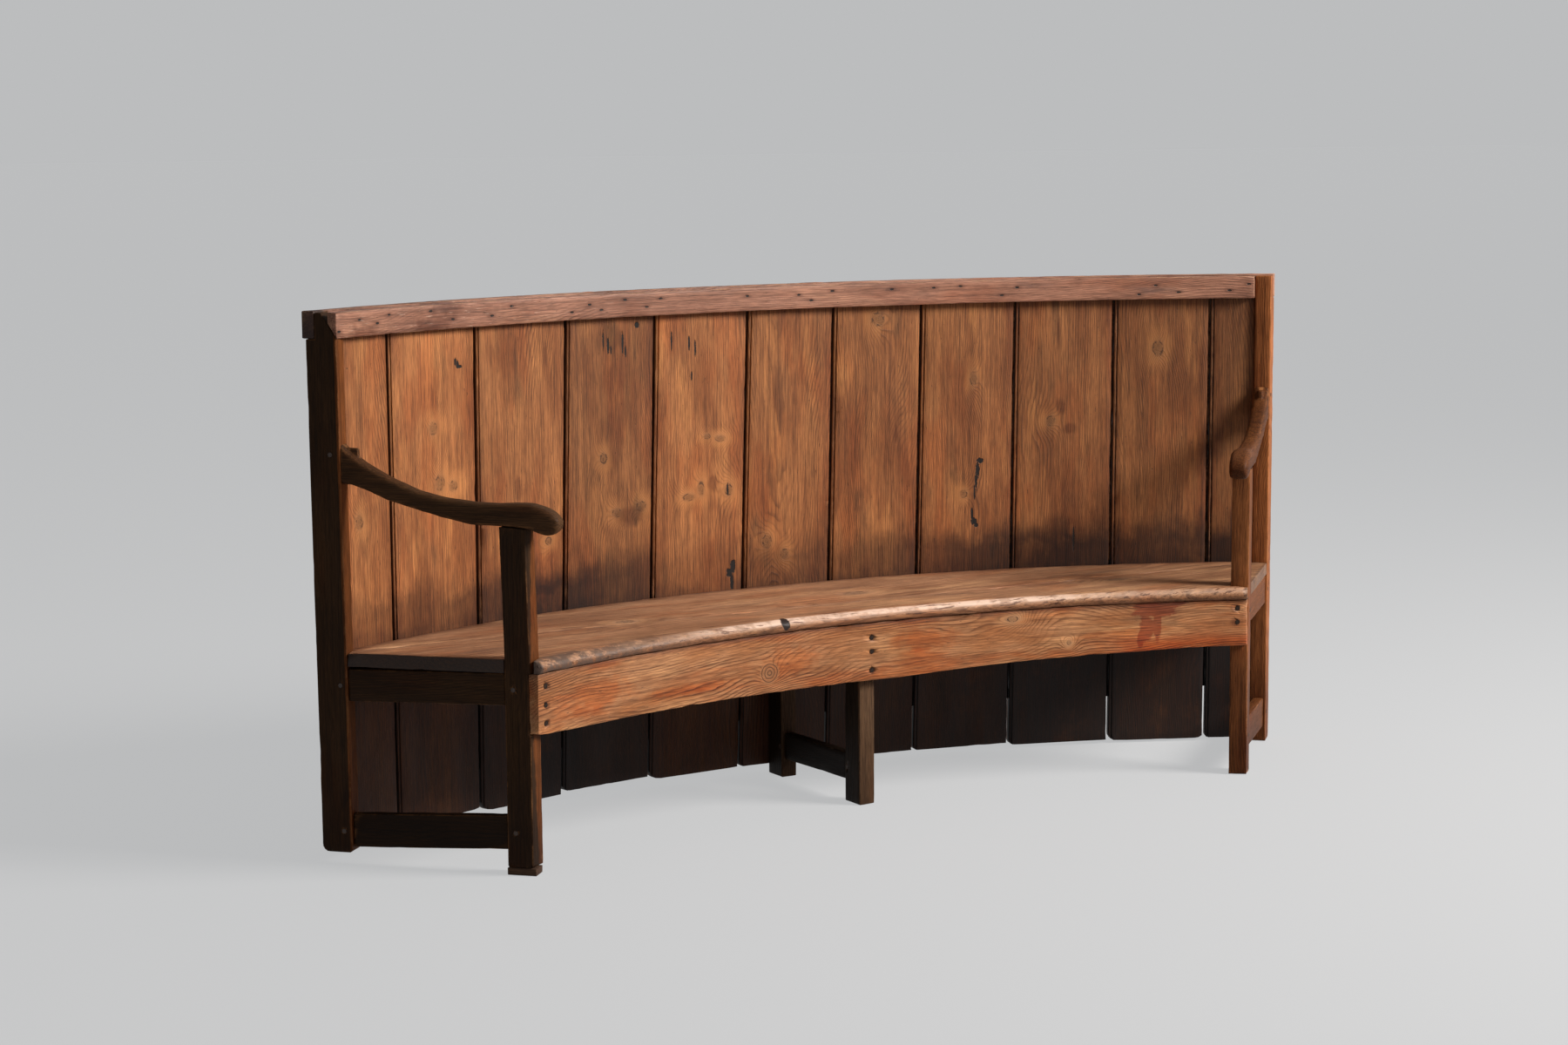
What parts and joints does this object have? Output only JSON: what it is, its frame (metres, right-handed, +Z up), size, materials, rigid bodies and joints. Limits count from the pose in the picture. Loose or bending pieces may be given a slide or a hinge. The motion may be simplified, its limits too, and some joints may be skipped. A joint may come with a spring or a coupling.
{
  "type": "curved settle bench",
  "caption": "Curved pine settle with a tall boarded back, bowed seat and apron, swept open arms and pegged end frames.",
  "frame": {"origin": "middle of the footprint at floor level", "axes": "+X along the bench to the sitter's left, which is the viewer's right, +Y towards the back, +Z up"},
  "size_m": [2.5916, 0.7332, 1.183],
  "materials": {
    "back_pine": "old waxed pine, orange brown, with knots and grime in the joints",
    "apron_pine": "old waxed pine, warm orange, with strong wavy grain",
    "seat_pine": "worn satin pine with a pale rubbed front edge",
    "frame_pine": "dark brown waxed pine, rubbed at the edges",
    "hidden_pine": "dark dry unfinished pine",
    "iron": "dark rusted iron"
  },
  "bodies": {
    "root": {"apron": "apron_pine", "apron_nail_left_1": "iron", "apron_nail_left_2": "iron", "apron_nail_left_3": "iron", "apron_nail_middle_1": "iron", "apron_nail_middle_2": "iron", "apron_nail_middle_3": "iron", "apron_nail_right_1": "iron", "apron_nail_right_2": "iron", "back_board_01": "back_pine", "back_board_02": "back_pine", "back_board_03": "back_pine", "back_board_04": "back_pine", "back_board_05": "back_pine", "back_board_06": "back_pine", "back_board_07": "back_pine", "back_board_08": "back_pine", "back_board_09": "back_pine", "back_board_10": "back_pine", "back_board_11": "back_pine", "back_seat_rail": "hidden_pine", "front_top_rail": "back_pine", "left_arm": "frame_pine", "left_arm_peg": "frame_pine", "left_foot_packing": "hidden_pine", "left_foot_rail": "frame_pine", "left_foot_rail_front_peg": "frame_pine", "left_foot_rail_rear_peg": "frame_pine", "left_front_leg": "frame_pine", "left_rear_post": "frame_pine", "left_seat_rail": "frame_pine", "left_seat_rail_front_peg": "frame_pine", "left_seat_rail_rear_peg": "frame_pine", "middle_front_leg": "frame_pine", "middle_rear_leg": "frame_pine", "middle_seat_rail": "frame_pine", "middle_seat_rail_front_peg": "frame_pine", "middle_seat_rail_rear_peg": "frame_pine", "middle_stretcher": "frame_pine", "middle_stretcher_front_peg": "frame_pine", "middle_stretcher_rear_peg": "frame_pine", "rear_top_rail": "back_pine", "right_arm": "frame_pine", "right_arm_peg": "frame_pine", "right_foot_rail": "frame_pine", "right_foot_rail_front_peg": "frame_pine", "right_foot_rail_rear_peg": "frame_pine", "right_front_leg": "frame_pine", "right_rear_post": "frame_pine", "right_seat_rail": "frame_pine", "right_seat_rail_front_peg": "frame_pine", "right_seat_rail_rear_peg": "frame_pine", "seat_front_board": "seat_pine", "seat_rear_board": "seat_pine"}
  },
  "joints": []
}
